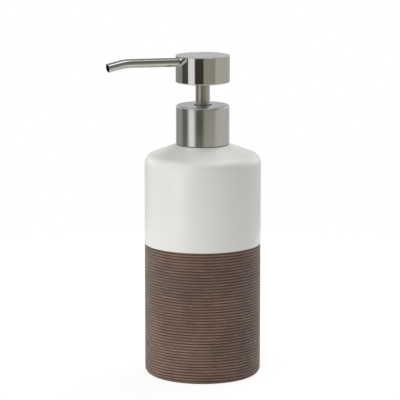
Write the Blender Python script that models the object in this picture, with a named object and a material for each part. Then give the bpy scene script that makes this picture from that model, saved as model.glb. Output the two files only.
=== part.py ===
"""Pump soap dispenser: a stoneware bottle with a steel-clad lotion pump screwed on its neck.

Metres, +Z up. The origin is the middle of the flat foot, on the bottle's axis, and the
spout points along -Y. Every moving piece slides along, or turns about, the Z axis.
"""

import math

import bmesh
import bpy
from mathutils import Matrix, Vector

# ---------------------------------------------------------------- driving dimensions
BOTTLE_RADIUS = 0.0355
BOTTLE_WALL = 0.0045
FLOOR_HEIGHT = 0.006
FOOT_FILLET = 0.004
SHOULDER_START = 0.1308
SHOULDER_FILLET = 0.0063
SHOULDER_SLOPE = math.radians(20.5)

COLLAR_RADIUS = 0.01625
COLLAR_HEIGHT = 0.0238
HEAD_RADIUS = 0.0165
HEAD_HEIGHT = 0.0164
STEM_RADIUS = 0.00435
STEM_SHOWING = 0.0138

SPOUT_RADIUS = 0.00275
SPOUT_WALL = 0.0005
SPOUT_BELOW_TOP = 0.0040
SPOUT_RISE = math.radians(1.65)
SPOUT_BEND_START = 0.0475
SPOUT_BEND_RADIUS = 0.035
SPOUT_BEND = math.radians(13)
SPOUT_END_STRAIGHT = 0.00715

PUMP_BORE = 0.0062
THREAD_PITCH = 0.0042
SHEET_STEEL = 0.00055

# Clearances: pieces that rest on each other, pieces pressed together, pieces that run.
SEAT_GAP = 0.0003
PRESS_GAP = 0.00015
RUN_GAP = 0.00015

# Facets round a turned piece, by its size.
COARSE, MEDIUM, FINE = 20, 30, 44

# ---------------------------------------------------------------- heights that follow
NECK_LAND_RADIUS = COLLAR_RADIUS + 0.00015
NECK_HOLE_RADIUS = 0.0126
SHOULDER_CENTRE = (BOTTLE_RADIUS - SHOULDER_FILLET, SHOULDER_START)
SLOPE_TOP_ANGLE = math.pi / 2 - SHOULDER_SLOPE
SLOPE_START_RADIUS = SHOULDER_CENTRE[0] + SHOULDER_FILLET * math.cos(SLOPE_TOP_ANGLE)
SLOPE_START_HEIGHT = SHOULDER_CENTRE[1] + SHOULDER_FILLET * math.sin(SLOPE_TOP_ANGLE)
NECK_LAND = SLOPE_START_HEIGHT + (SLOPE_START_RADIUS - NECK_LAND_RADIUS) * math.tan(SHOULDER_SLOPE)

COLLAR_BASE = NECK_LAND + 0.00035
COLLAR_TOP = COLLAR_BASE + COLLAR_HEIGHT
HEAD_BASE = COLLAR_TOP + STEM_SHOWING
HEAD_TOP = HEAD_BASE + HEAD_HEIGHT
SPOUT_HEIGHT = HEAD_TOP - SPOUT_BELOW_TOP

# The stack under the collar's top, from the screw cap down to the rim of the neck.
CAP_TOP = COLLAR_TOP - SHEET_STEEL - SEAT_GAP
CAP_CEILING = CAP_TOP - 0.0015
GUIDE_DISC_TOP = CAP_CEILING - SEAT_GAP
GUIDE_DISC_BASE = GUIDE_DISC_TOP - 0.0013
FLANGE_TOP = GUIDE_DISC_BASE - SEAT_GAP
FLANGE_BASE = FLANGE_TOP - 0.0014
GASKET_TOP = FLANGE_BASE - SEAT_GAP
GASKET_BASE = GASKET_TOP - 0.0012
NECK_TOP = GASKET_BASE - SEAT_GAP
MALE_THREAD_START = NECK_TOP - 0.0062
FEMALE_THREAD_START = MALE_THREAD_START - THREAD_PITCH / 2

# The pump's insides, from the guide's skirt down to the dip tube.
GUIDE_SKIRT_BASE = FLANGE_TOP - 0.0062
PISTON_TOP = GUIDE_SKIRT_BASE - 0.0004
PISTON_BASE = PISTON_TOP - 0.0084
STEM_SHOULDER_TOP = PISTON_BASE + 0.0068 + SEAT_GAP + 0.0011
BORE_BASE = PISTON_BASE - 0.0285
CAGE_TOP = BORE_BASE + 0.0015
INLET_SEAT = BORE_BASE - 0.010
INLET_THROAT = 0.0016
TAIL_BASE = INLET_SEAT - 0.0106
DIP_TUBE_TOP = INLET_SEAT - 0.0018
DIP_TUBE_RADIUS = 0.0030
INLET_BALL_RADIUS = 0.0024
INLET_LIFT = 0.0016

# Inside the head: the stem's top with the outlet valve, and the spout's inner end.
SLEEVE_TOP = HEAD_BASE + 0.0054
SPOUT_INNER_END = 0.0058
STEM_TOP = HEAD_BASE + 0.0079
OUTLET_SEAT = STEM_TOP - 0.0042
OUTLET_THROAT = 0.0013
OUTLET_BALL_RADIUS = 0.00175
SEATED_GAP = 0.00015

STEEL = ((0.60, 0.59, 0.56), 1.0, 0.25)
BALL_STEEL = ((0.70, 0.70, 0.70), 1.0, 0.12)
SPRING_STEEL = ((0.52, 0.52, 0.52), 1.0, 0.32)
WHITE_GLAZE = ((0.72, 0.72, 0.68), 0.0, 0.45)
NATURAL_PLASTIC = ((0.78, 0.79, 0.77), 0.0, 0.40)
DARK_PLASTIC = ((0.035, 0.035, 0.033), 0.0, 0.45)
SOFT_SEAL = ((0.55, 0.56, 0.55), 0.0, 0.60)


# ---------------------------------------------------------------- modelling helpers
def clear_scene():
    for old in list(bpy.data.objects):
        bpy.data.objects.remove(old, do_unlink=True)


def material(name, finish):
    colour, metallic, roughness = finish
    made = bpy.data.materials.new(name)
    made.use_nodes = True
    shader = made.node_tree.nodes["Principled BSDF"]
    shader.inputs["Base Color"].default_value = (*colour, 1.0)
    shader.inputs["Metallic"].default_value = metallic
    shader.inputs["Roughness"].default_value = roughness
    return made


def group(name, parent=None):
    """An empty on the pump's axis that carries the pieces of one moving group."""
    empty = bpy.data.objects.new(name, None)
    bpy.context.scene.collection.objects.link(empty)
    empty.parent = parent
    return empty


def object_from(name, mesh_data, finish, parent):
    made = bpy.data.objects.new(name, mesh_data)
    bpy.context.scene.collection.objects.link(made)
    made.parent = parent
    if finish is not None:
        made.data.materials.append(material(name + "_finish", finish))
    return made


def arc(centre, radius, start, end, steps):
    """Points on an arc in the (radius, height) plane, both ends included, angles in degrees."""
    turn = math.radians(end - start) / steps
    first = math.radians(start)
    return [
        (centre[0] + radius * math.cos(first + turn * i), centre[1] + radius * math.sin(first + turn * i))
        for i in range(steps + 1)
    ]


def turned_mesh(name, outline, facets):
    """A solid of revolution about Z. An outline that starts and ends on the axis is a solid
    of the full disc; any other outline is a closed loop, and makes a ring."""
    shape = bmesh.new()
    corners = [shape.verts.new((radius, 0.0, height)) for radius, height in outline]
    edges = [shape.edges.new(pair) for pair in zip(corners, corners[1:])]
    if outline[0][0] > 0.0 or outline[-1][0] > 0.0:
        edges.append(shape.edges.new((corners[-1], corners[0])))
    bmesh.ops.spin(
        shape, geom=corners + edges, cent=(0, 0, 0), axis=(0, 0, 1),
        angle=2 * math.pi, steps=facets, use_merge=True,
    )
    bmesh.ops.remove_doubles(shape, verts=shape.verts, dist=1e-6)
    bmesh.ops.recalc_face_normals(shape, faces=shape.faces)
    made = bpy.data.meshes.new(name)
    shape.to_mesh(made)
    shape.free()
    made.shade_smooth()
    made.set_sharp_from_angle(angle=math.radians(35))
    return made


def turned(name, outline, facets, finish, parent, height=0.0):
    made = object_from(name, turned_mesh(name, outline, facets), finish, parent)
    made.location = (0.0, 0.0, height)
    return made


def tube_outline(inner, outer, base, top):
    return [(inner, base), (outer, base), (outer, top), (inner, top)]


def hide_cutter(cutter):
    cutter.hide_render = True
    cutter.display_type = "WIRE"
    return cutter


def boolean(target, other, operation):
    step = target.modifiers.new(operation.lower() + "_" + other.name, "BOOLEAN")
    step.operation = operation
    step.solver = "EXACT"
    step.object = hide_cutter(other)
    return step


def box(name, size, centre, parent):
    shape = bmesh.new()
    bmesh.ops.create_cube(shape, size=1.0, matrix=Matrix.Diagonal((*size, 1.0)))
    made = bpy.data.meshes.new(name)
    shape.to_mesh(made)
    shape.free()
    placed = object_from(name, made, None, parent)
    placed.location = centre
    return placed


def loft(name, rings, close_ends):
    """A mesh through rings of points of equal count. Its ends are capped, or, for a tube
    whose last ring is meant to meet its first, joined to each other."""
    shape = bmesh.new()
    rows = [[shape.verts.new(point) for point in ring] for ring in rings]
    pairs = list(zip(rows, rows[1:]))
    if not close_ends:
        pairs.append((rows[-1], rows[0]))
    for lower, upper in pairs:
        for i in range(len(lower)):
            j = (i + 1) % len(lower)
            shape.faces.new((lower[i], lower[j], upper[j], upper[i]))
    if close_ends:
        shape.faces.new(rows[0])
        shape.faces.new(rows[-1])
    bmesh.ops.recalc_face_normals(shape, faces=shape.faces)
    made = bpy.data.meshes.new(name)
    shape.to_mesh(made)
    shape.free()
    return made


def thread_ridge(name, root, crest, start, turns, parent):
    """One start of a bottle thread: a helical ridge of trapezium section, from a root radius
    buried in its wall to a crest, which fades out over its first and last eighth of a turn."""
    steps_per_turn = MEDIUM
    root_half, crest_half = 0.00105, 0.00055
    fade = 1 / 8
    steps = round(turns * steps_per_turn)
    rings = []
    for i in range(steps + 1):
        turned_so_far = i / steps_per_turn
        angle = 2 * math.pi * turned_so_far
        height = start + THREAD_PITCH * turned_so_far
        from_end = min(turned_so_far, turns - turned_so_far)
        full = 0.35 + 0.65 * min(1.0, from_end / fade)
        tip = root + (crest - root) * full
        section = ((root, -root_half), (tip, -crest_half), (tip, crest_half), (root, root_half))
        rings.append([
            (radius * math.cos(angle), radius * math.sin(angle), height + offset)
            for radius, offset in section
        ])
    return object_from(name, loft(name, rings, close_ends=True), None, parent)


# ---------------------------------------------------------------- the bottle
def bottle(parent):
    """One piece of fired stoneware: a flat dry foot with a turned groove, a straight wall,
    a sloped shoulder and a plain hole in the neck."""
    groove_inner, groove_outer, groove_depth = 0.0240, 0.0258, 0.0006
    inner_radius = BOTTLE_RADIUS - BOTTLE_WALL
    floor_fillet = 0.004
    slope_degrees = math.degrees(SLOPE_TOP_ANGLE)
    # The hole's lower edge is on the inner slope, one wall below the outer one.
    hole_base = (
        NECK_LAND
        + (NECK_LAND_RADIUS - NECK_HOLE_RADIUS) * math.tan(SHOULDER_SLOPE)
        - BOTTLE_WALL / math.cos(SHOULDER_SLOPE)
    )
    foot = [
        (0.0, 0.0), (groove_inner, 0.0), (groove_inner + 0.0003, groove_depth),
        (groove_outer - 0.0003, groove_depth), (groove_outer, 0.0),
    ]
    outside = (
        arc((BOTTLE_RADIUS - FOOT_FILLET, FOOT_FILLET), FOOT_FILLET, -90, 0, 4)
        + arc(SHOULDER_CENTRE, SHOULDER_FILLET, 0, slope_degrees, 5)
        + [(NECK_LAND_RADIUS, NECK_LAND), (NECK_HOLE_RADIUS, NECK_LAND)]
    )
    inside = (
        [(NECK_HOLE_RADIUS, hole_base)]
        + arc(SHOULDER_CENTRE, SHOULDER_FILLET - BOTTLE_WALL, slope_degrees, 0, 2)
        + arc((inner_radius - floor_fillet, FLOOR_HEIGHT + floor_fillet), floor_fillet, 0, -90, 3)
        + [(0.0, FLOOR_HEIGHT)]
    )
    return turned("bottle", foot + outside + inside, FINE, WHITE_GLAZE, parent)


def neck_grommet(parent):
    """A soft ring between the plastic insert and the ceramic, which takes up the ceramic's tolerance."""
    sleeve_inner, sleeve_outer = 0.0113, NECK_HOLE_RADIUS - SEAT_GAP
    lip_radius, lip = 0.0142, 0.0008
    lip_base = NECK_LAND + SEAT_GAP
    outline = [
        (sleeve_inner, NECK_LAND - 0.0072), (sleeve_outer - 0.0004, NECK_LAND - 0.0072),
        (sleeve_outer, NECK_LAND - 0.0060), (sleeve_outer, lip_base), (lip_radius, lip_base),
        (lip_radius, lip_base + lip), (sleeve_inner, lip_base + lip),
    ]
    return turned("neck_grommet", outline, MEDIUM, SOFT_SEAL, parent)


def neck_insert(parent):
    """The plastic neck: a spigot in the ceramic, a flange on the grommet and the bottle thread."""
    bore, spigot, flange, core, crest = 0.0098, 0.0110, 0.0145, 0.0126, 0.0137
    flange_base = NECK_LAND + SEAT_GAP + 0.0008 + SEAT_GAP
    flange_top = flange_base + 0.0012
    outline = [
        (bore, NECK_LAND - 0.0090), (spigot - 0.0003, NECK_LAND - 0.0090),
        (spigot, NECK_LAND - 0.0084), (spigot, flange_base), (flange, flange_base),
        (flange, flange_top), (core, flange_top), (core, NECK_TOP - 0.0004),
        (core - 0.0004, NECK_TOP), (bore, NECK_TOP),
    ]
    made = turned("neck_insert", outline, MEDIUM, NATURAL_PLASTIC, parent)
    ridge = thread_ridge("insert_thread", core - 0.0004, crest, MALE_THREAD_START, 1.05, parent)
    boolean(made, ridge, "UNION")
    return made



# ---------------------------------------------------------------- the collar
def screw_cap(parent):
    """The plastic closure inside the collar: it screws on the neck and clamps the pump's flange."""
    outer = COLLAR_RADIUS - SHEET_STEEL - SEAT_GAP
    bore, crest, hole = 0.01405, 0.01305, 0.0058
    base = NECK_LAND + 0.0031
    outline = [
        (bore, base), (outer, base), (outer, CAP_TOP - 0.0006), (outer - 0.0006, CAP_TOP),
        (hole, CAP_TOP), (hole, CAP_CEILING), (bore, CAP_CEILING),
    ]
    made = turned("screw_cap", outline, MEDIUM, NATURAL_PLASTIC, parent)
    ridge = thread_ridge("cap_thread", bore + 0.0004, crest, FEMALE_THREAD_START, 0.8, parent)
    boolean(made, ridge, "UNION")
    return made


def collar_shell(parent):
    """The drawn steel sleeve pressed over the screw cap, with a round hole for the stem."""
    edge, hole = 0.0012, 0.00575
    inner = COLLAR_RADIUS - SHEET_STEEL
    ceiling = COLLAR_TOP - SHEET_STEEL
    corner = (COLLAR_RADIUS - edge, COLLAR_TOP - edge)
    outline = (
        [(inner, COLLAR_BASE), (COLLAR_RADIUS - 0.0001, COLLAR_BASE), (COLLAR_RADIUS, COLLAR_BASE + 0.0002)]
        + arc(corner, edge, 0, 90, 4)
        + [(hole + 0.0002, COLLAR_TOP), (hole, COLLAR_TOP - 0.0002), (hole, ceiling)]
        + arc(corner, edge - SHEET_STEEL, 90, 0, 2)
    )
    return turned("collar_shell", outline, FINE, STEEL, parent)


# ---------------------------------------------------------------- the pump engine
def neck_gasket(parent):
    outline = tube_outline(0.0076, 0.0134, GASKET_BASE, GASKET_TOP)
    return turned("neck_gasket", outline, MEDIUM, SOFT_SEAL, parent)


def pump_housing(parent):
    """The pump's cylinder: a clamping flange, the piston's bore, the inlet valve's chamber
    with its conical seat, and a tail that takes the dip tube."""
    barrel, flange, chamber = PUMP_BORE + 0.0010, 0.0134, 0.0034
    chamber_outer, tail_outer = 0.0047, 0.0043
    socket = DIP_TUBE_RADIUS + PRESS_GAP
    outline = [
        (PUMP_BORE, FLANGE_TOP), (PUMP_BORE, BORE_BASE), (chamber, BORE_BASE),
        (chamber, INLET_SEAT + chamber - INLET_THROAT), (INLET_THROAT, INLET_SEAT),
        (INLET_THROAT, INLET_SEAT - 0.0015), (socket, INLET_SEAT - 0.0015),
        (socket, TAIL_BASE), (tail_outer, TAIL_BASE), (tail_outer, INLET_SEAT - 0.0020),
        (chamber_outer, INLET_SEAT - 0.0014), (chamber_outer, BORE_BASE - 0.0030),
        (barrel, BORE_BASE - 0.0008), (barrel, FLANGE_BASE), (flange, FLANGE_BASE),
        (flange, FLANGE_TOP),
    ]
    made = turned("pump_housing", outline, MEDIUM, NATURAL_PLASTIC, parent)
    vent = turned("vent_cutter", [(0.0, 0.0), (0.0006, 0.0), (0.0006, 0.004), (0.0, 0.004)], 12, None, parent)
    vent.location = (PUMP_BORE - 0.0012, 0.0, GUIDE_SKIRT_BASE - 0.0018)
    vent.rotation_euler = (0.0, math.pi / 2, 0.0)
    boolean(made, vent, "DIFFERENCE")
    return made


def stem_guide(parent):
    """The guide clipped on the housing: its skirt stops the piston at the top of the stroke,
    and its neck, which shows in the collar's hole, keeps the stem upright."""
    bore = STEM_RADIUS + RUN_GAP
    skirt, disc, neck = PUMP_BORE - SEAT_GAP, 0.0130, 0.0054
    neck_top = COLLAR_TOP - 0.0004
    outline = [
        (bore, GUIDE_SKIRT_BASE), (skirt, GUIDE_SKIRT_BASE), (skirt, GUIDE_DISC_BASE),
        (disc, GUIDE_DISC_BASE), (disc, GUIDE_DISC_TOP), (neck, GUIDE_DISC_TOP),
        (neck, neck_top - 0.0002), (neck - 0.0002, neck_top), (bore + 0.0002, neck_top),
        (bore, neck_top - 0.0002),
    ]
    return turned("stem_guide", outline, MEDIUM, DARK_PLASTIC, parent)



def ball_cage(parent):
    """The spring's seat at the foot of the bore. Its slotted spigot holds the inlet ball
    near its seat and lets the soap pass round it."""
    disc, spigot, bore = PUMP_BORE - 0.00025, 0.0031, 0.0020
    disc_base, disc_top = BORE_BASE + SEAT_GAP, CAGE_TOP
    seated = height_on_cone(INLET_SEAT, INLET_THROAT, INLET_BALL_RADIUS)
    spigot_base = seated + INLET_LIFT + math.sqrt(INLET_BALL_RADIUS**2 - bore**2) + SEATED_GAP
    outline = [
        (bore, spigot_base), (spigot, spigot_base), (spigot, disc_base), (disc, disc_base),
        (disc, disc_top), (bore, disc_top),
    ]
    made = turned("ball_cage", outline, COARSE, NATURAL_PLASTIC, parent)
    slot_width, slot_length, slot_depth = 0.0012, 0.008, 0.0022
    for axis, size in (("x", (slot_length, slot_width)), ("y", (slot_width, slot_length))):
        slot = box("cage_slot_" + axis, (*size, 2 * slot_depth), (0.0, 0.0, spigot_base), parent)
        boolean(made, slot, "DIFFERENCE")
    return made


def return_spring(parent):
    """A compression spring between the cage and the piston, with closed end coils."""
    wire, coil = 0.0004, 0.00495
    turns, points_per_turn, closed_turns = 8, 12, 1
    base = CAGE_TOP + SEAT_GAP + wire
    top = PISTON_BASE - SEAT_GAP - wire
    closed_pitch = 2 * wire + 0.0001
    open_pitch = (top - base - 2 * closed_turns * closed_pitch) / (turns - 2 * closed_turns)
    curve = bpy.data.curves.new("return_spring", "CURVE")
    curve.dimensions = "3D"
    curve.bevel_depth = wire
    curve.bevel_resolution = 1
    curve.use_fill_caps = True
    line = curve.splines.new("POLY")
    count = turns * points_per_turn
    line.points.add(count)
    for i, point in enumerate(line.points):
        turn = i / points_per_turn
        closed = min(turn, closed_turns) + max(0.0, turn - (turns - closed_turns))
        height = base + closed * closed_pitch + (turn - closed) * open_pitch
        angle = 2 * math.pi * turn
        point.co = (coil * math.cos(angle), coil * math.sin(angle), height, 1.0)
    return object_from("return_spring", curve, SPRING_STEEL, parent)


def dip_tube(parent):
    """The tube that hangs from the housing's tail to just above the bottle's floor, its end
    cut on the slant so that it can't seal on the floor."""
    wall, above_floor, slant = 0.0008, 0.0030, math.radians(35)
    base = FLOOR_HEIGHT + above_floor
    outline = tube_outline(DIP_TUBE_RADIUS - wall, DIP_TUBE_RADIUS, base, DIP_TUBE_TOP)
    made = turned("dip_tube", outline, COARSE, NATURAL_PLASTIC, parent)
    side = 0.02
    cut_height = base + DIP_TUBE_RADIUS * math.tan(slant)
    cutter = box("dip_tube_cutter", (side,) * 3, (0.0, 0.0, cut_height - side / 2 / math.cos(slant)), parent)
    cutter.rotation_euler = (slant, 0.0, 0.0)
    boolean(made, cutter, "DIFFERENCE")
    return made


def ball(name, radius, height, parent):
    """A steel valve ball, its origin at its own middle."""
    shape = bmesh.new()
    bmesh.ops.create_uvsphere(shape, u_segments=COARSE, v_segments=COARSE // 2, radius=radius)
    made = bpy.data.meshes.new(name)
    shape.to_mesh(made)
    shape.free()
    made.shade_smooth()
    placed = object_from(name, made, BALL_STEEL, parent)
    placed.location = (0.0, 0.0, height)
    return placed


def height_on_cone(seat, throat, radius):
    """The height of a ball's middle as it rests on a 45 degree seat, with a little clearance."""
    return seat - throat + radius * math.sqrt(2) + SEATED_GAP


# ---------------------------------------------------------------- the piston and the stem
def piston(parent):
    """The soft piston: a hub clipped on the stem, with a lip up and a lip down that wipe the bore."""
    hub_bore, hub, lip = 0.0038, 0.0052, PUMP_BORE - RUN_GAP
    bead_recess = 0.0045
    outline = [
        (bead_recess, 0.0), (lip - 0.0003, 0.0), (lip, 0.0004), (lip, 0.0012), (hub, 0.0024),
        (hub, 0.0060), (lip, 0.0072), (lip, 0.0084), (lip - 0.0003, 0.0084), (hub - 0.0002, 0.0068),
        (hub_bore, 0.0068), (hub_bore, 0.0014), (bead_recess, 0.0011),
    ]
    return turned("piston", outline, MEDIUM, SOFT_SEAL, parent, PISTON_BASE)


def piston_stem(parent):
    """The hollow plastic stem: a bead and a shoulder that hold the piston, a long bore for the
    soap, and the outlet valve's seat and chamber at its top."""
    outer, bore, chamber = 0.00365, 0.0018, 0.00235
    bead, shoulder = 0.0043, 0.00425
    shoulder_base = STEM_SHOULDER_TOP - 0.0011
    outline = [
        (bore, PISTON_BASE + 0.0002), (bead, PISTON_BASE + 0.0002), (bead, PISTON_BASE + 0.0006),
        (outer, PISTON_BASE + 0.0009), (outer, shoulder_base), (shoulder, shoulder_base),
        (shoulder, STEM_SHOULDER_TOP), (outer, STEM_SHOULDER_TOP), (outer, STEM_TOP),
        (chamber, STEM_TOP), (chamber, OUTLET_SEAT + chamber - OUTLET_THROAT),
        (OUTLET_THROAT, OUTLET_SEAT), (OUTLET_THROAT, OUTLET_SEAT - 0.0010),
        (bore, OUTLET_SEAT - 0.0016),
    ]
    return turned("piston_stem", outline, COARSE, NATURAL_PLASTIC, parent)



def stem_sleeve(parent):
    """The steel tube over the stem, which is what shows between the collar and the head."""
    base = STEM_SHOULDER_TOP + SEAT_GAP
    outline = tube_outline(STEM_RADIUS - 0.0004, STEM_RADIUS, base, SLEEVE_TOP)
    return turned("stem_sleeve", outline, MEDIUM, STEEL, parent)


# ---------------------------------------------------------------- the head and the spout
def along_spout(cutter):
    """Lays a piece that was turned about Z along the spout, from the head's axis outwards."""
    cutter.location = (0.0, 0.0, SPOUT_HEIGHT)
    cutter.rotation_euler = (math.pi / 2 - SPOUT_RISE, 0.0, 0.0)
    return cutter


def pocket(name, start, end, parent):
    """A sector-shaped cutter for one of the hollows under the plastic core."""
    inner, outer = 0.0066, 0.0138
    base, top = HEAD_BASE, HEAD_BASE + 0.0073
    steps = 5
    angles = [start + (end - start) * i / steps for i in range(steps + 1)]
    edge = [(inner, a) for a in angles] + [(outer, a) for a in reversed(angles)]
    rings = [
        [(radius * math.cos(a), radius * math.sin(a), height) for radius, a in edge]
        for height in (base, top)
    ]
    return object_from(name, loft(name, rings, close_ends=True), None, parent)


def actuator_core(parent):
    """The plastic core of the head: a socket for the stem, a slot over the outlet ball that
    lets soap past but keeps the ball, a bore for the spout, and pockets that keep its walls even."""
    outer = HEAD_RADIUS - 0.0006 - SEAT_GAP
    base, top = HEAD_BASE + 0.00115, HEAD_TOP - 0.0005 - 0.00025
    sleeve_socket, stem_socket = STEM_RADIUS + PRESS_GAP, 0.0038
    sleeve_ceiling, stem_ceiling = SLEEVE_TOP + SEAT_GAP, STEM_TOP + PRESS_GAP
    outline = [
        (0.0, top), (outer - 0.0005, top), (outer, top - 0.0005), (outer, base),
        (sleeve_socket, base), (sleeve_socket, sleeve_ceiling), (stem_socket, sleeve_ceiling),
        (stem_socket, stem_ceiling), (0.0, stem_ceiling),
    ]
    made = turned("actuator_core", outline, FINE, DARK_PLASTIC, parent)
    rib_half, pockets = math.radians(6), 6
    step = 2 * math.pi / pockets
    for i in range(pockets):
        start = i * step + rib_half
        hollow = pocket(f"core_pocket_{i + 1}", start, start + step - 2 * rib_half, parent)
        boolean(made, hollow, "DIFFERENCE")
    passage = 0.0019
    spout_bore = SPOUT_RADIUS + 0.0001
    bore_outline = [
        (0.0, -passage), (passage, -passage), (passage, SPOUT_INNER_END - SEAT_GAP),
        (spout_bore, SPOUT_INNER_END - SEAT_GAP), (spout_bore, 2 * HEAD_RADIUS), (0.0, 2 * HEAD_RADIUS),
    ]
    boolean(made, along_spout(turned("core_spout_cutter", bore_outline, COARSE, None, parent)), "DIFFERENCE")
    slot_base = stem_ceiling - 0.0004
    slot = box(
        "core_slot_cutter", (0.0016, 0.0036, SPOUT_HEIGHT - slot_base),
        (0.0, 0.0, (SPOUT_HEIGHT + slot_base) / 2), parent,
    )
    boolean(made, slot, "DIFFERENCE")
    return made


def head_shell(parent):
    """The drawn steel cup that is pressed on: flat top, crisp top edge, and a lower rim
    rolled inwards. The spout goes in through a hole in its side."""
    wall, top_sheet, top_edge, rim_edge, rim = 0.0006, 0.0005, 0.00035, 0.0008, 0.0151
    inner = HEAD_RADIUS - wall
    ceiling = HEAD_TOP - top_sheet
    outline = (
        [(0.0, HEAD_TOP)]
        + arc((HEAD_RADIUS - top_edge, HEAD_TOP - top_edge), top_edge, 90, 0, 3)
        + arc((HEAD_RADIUS - rim_edge, HEAD_BASE + rim_edge), rim_edge, 0, -90, 4)
        + [(rim, HEAD_BASE), (rim, HEAD_BASE + 0.0008), (inner, HEAD_BASE + 0.0008)]
        + [(inner, ceiling), (0.0, ceiling)]
    )
    made = turned("head_shell", outline, FINE, STEEL, parent)
    hole = SPOUT_RADIUS + 0.0001
    start, end = HEAD_RADIUS / 2, 2 * HEAD_RADIUS
    cutter_outline = [(0.0, start), (hole, start), (hole, end), (0.0, end)]
    cutter = turned("shell_spout_cutter", cutter_outline, COARSE, None, parent)
    boolean(made, along_spout(cutter), "DIFFERENCE")
    return made


def head_base_plate(parent):
    """The steel disc that closes the head from below, round the stem."""
    outline = tube_outline(STEM_RADIUS + SEAT_GAP, 0.0148, HEAD_BASE + 0.0002, HEAD_BASE + 0.0008)
    return turned("head_base_plate", outline, FINE, STEEL, parent)



def spout_line():
    """Points of the spout's centreline with the direction there, in its own plane: (reach,
    height) from the head's axis, straight, then bent down, then straight to the open end."""
    line = [((SPOUT_INNER_END, 0.0), 0.0), ((HEAD_RADIUS, 0.0), 0.0)]
    steps = 5
    for i in range(steps + 1):
        bend = SPOUT_BEND * i / steps
        reach = SPOUT_BEND_START + SPOUT_BEND_RADIUS * math.sin(bend)
        line.append(((reach, -SPOUT_BEND_RADIUS * (1 - math.cos(bend))), bend))
    (reach, drop), bend = line[-1]
    end = (reach + SPOUT_END_STRAIGHT * math.cos(bend), drop - SPOUT_END_STRAIGHT * math.sin(bend))
    return line + [(end, bend)]


def spout_tube(parent):
    """The steel spout, open at both ends. Its origin is on the head's axis, at its own height,
    and from there the whole tube rises a little towards its bend."""
    def ring(place, bend, radius):
        reach, height = place
        across, up = Vector((1, 0, 0)), Vector((0, -math.sin(bend), math.cos(bend)))
        middle = Vector((0, -reach, height))
        turns = [2 * math.pi * i / COARSE for i in range(COARSE)]
        return [middle + radius * (math.cos(a) * across + math.sin(a) * up) for a in turns]

    line = spout_line()
    rings = [ring(place, bend, SPOUT_RADIUS) for place, bend in line]
    rings += [ring(place, bend, SPOUT_RADIUS - SPOUT_WALL) for place, bend in reversed(line)]
    made = loft("spout_tube", rings, close_ends=False)
    made.shade_smooth()
    made.set_sharp_from_angle(angle=math.radians(35))
    placed = object_from("spout_tube", made, STEEL, parent)
    placed.location = (0.0, 0.0, SPOUT_HEIGHT)
    placed.rotation_euler = (-SPOUT_RISE, 0.0, 0.0)
    return placed


# ---------------------------------------------------------------- the assembly
def build():
    clear_scene()
    root = group("bottle_group")
    pump = group("pump_group", root)
    collar = group("collar_group", pump)
    piston_group = group("piston_group", pump)
    head = group("head_group", piston_group)

    for piece in (bottle, neck_grommet, neck_insert):
        piece(root)
    for piece in (neck_gasket, pump_housing, stem_guide, ball_cage, return_spring, dip_tube):
        piece(pump)
    for piece in (screw_cap, collar_shell):
        piece(collar)
    piston(piston_group)
    for piece in (piston_stem, stem_sleeve, actuator_core, head_shell, head_base_plate, spout_tube):
        piece(head)

    inlet_height = height_on_cone(INLET_SEAT, INLET_THROAT, INLET_BALL_RADIUS)
    ball("inlet_ball", INLET_BALL_RADIUS, inlet_height, pump)
    outlet_height = height_on_cone(OUTLET_SEAT, OUTLET_THROAT, OUTLET_BALL_RADIUS)
    ball("outlet_ball", OUTLET_BALL_RADIUS, outlet_height, head)


build()
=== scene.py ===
"""Looks of a pump soap dispenser: a glazed and ribbed stoneware bottle with a steel pump.

Laid out as an add-on and run as a script. Every size is in metres, in the frame of the
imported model: +Z up from the middle of the foot, the spout along -Y.
"""

import math

import bmesh
import bpy
from bpy.props import FloatProperty, FloatVectorProperty, IntProperty, PointerProperty
from mathutils import Matrix, Vector


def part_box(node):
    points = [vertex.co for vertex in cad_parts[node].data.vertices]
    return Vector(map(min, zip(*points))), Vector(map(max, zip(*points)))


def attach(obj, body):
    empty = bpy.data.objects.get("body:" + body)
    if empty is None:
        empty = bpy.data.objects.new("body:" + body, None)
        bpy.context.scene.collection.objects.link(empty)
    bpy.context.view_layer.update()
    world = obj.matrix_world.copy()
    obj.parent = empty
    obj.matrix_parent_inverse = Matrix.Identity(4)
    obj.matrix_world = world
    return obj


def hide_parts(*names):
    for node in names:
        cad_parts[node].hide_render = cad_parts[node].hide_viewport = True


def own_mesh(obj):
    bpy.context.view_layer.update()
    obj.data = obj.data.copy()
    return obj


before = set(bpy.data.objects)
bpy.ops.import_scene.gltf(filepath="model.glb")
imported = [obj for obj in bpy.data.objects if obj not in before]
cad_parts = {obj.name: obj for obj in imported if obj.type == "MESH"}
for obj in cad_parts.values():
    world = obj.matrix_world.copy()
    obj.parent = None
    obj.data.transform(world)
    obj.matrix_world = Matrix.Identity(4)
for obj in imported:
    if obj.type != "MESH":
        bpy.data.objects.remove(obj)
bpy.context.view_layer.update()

bl_info = {
    "name": "Pump soap dispenser",
    "version": (1, 0, 0),
    "blender": (4, 5, 0),
    "location": "3D View > Sidebar > Dispenser",
    "description": "Builds the looks of a stoneware soap dispenser around its working frame",
    "category": "Object",
}

MM = 0.001
FACETS = 192
ROWS_PER_RIB = 9


# ---------------------------------------------------------------- sizes read from the frame
def reach(node):
    """The outer radius of a turned node about the pump's axis."""
    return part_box(node)[1].x


def low(node):
    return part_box(node)[0].z


def high(node):
    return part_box(node)[1].z


# ---------------------------------------------------------------- settings
def length(name, default, description):
    return FloatProperty(
        name=name, default=default, description=description, unit="LENGTH", precision=5, min=0.0,
    )


def colour(name, default, description):
    return FloatVectorProperty(
        name=name, default=default, description=description, subtype="COLOR", size=3, min=0.0, max=1.0,
    )


def share(name, default, description):
    return FloatProperty(
        name=name, default=default, description=description, subtype="FACTOR", min=0.0, max=1.0,
    )


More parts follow.
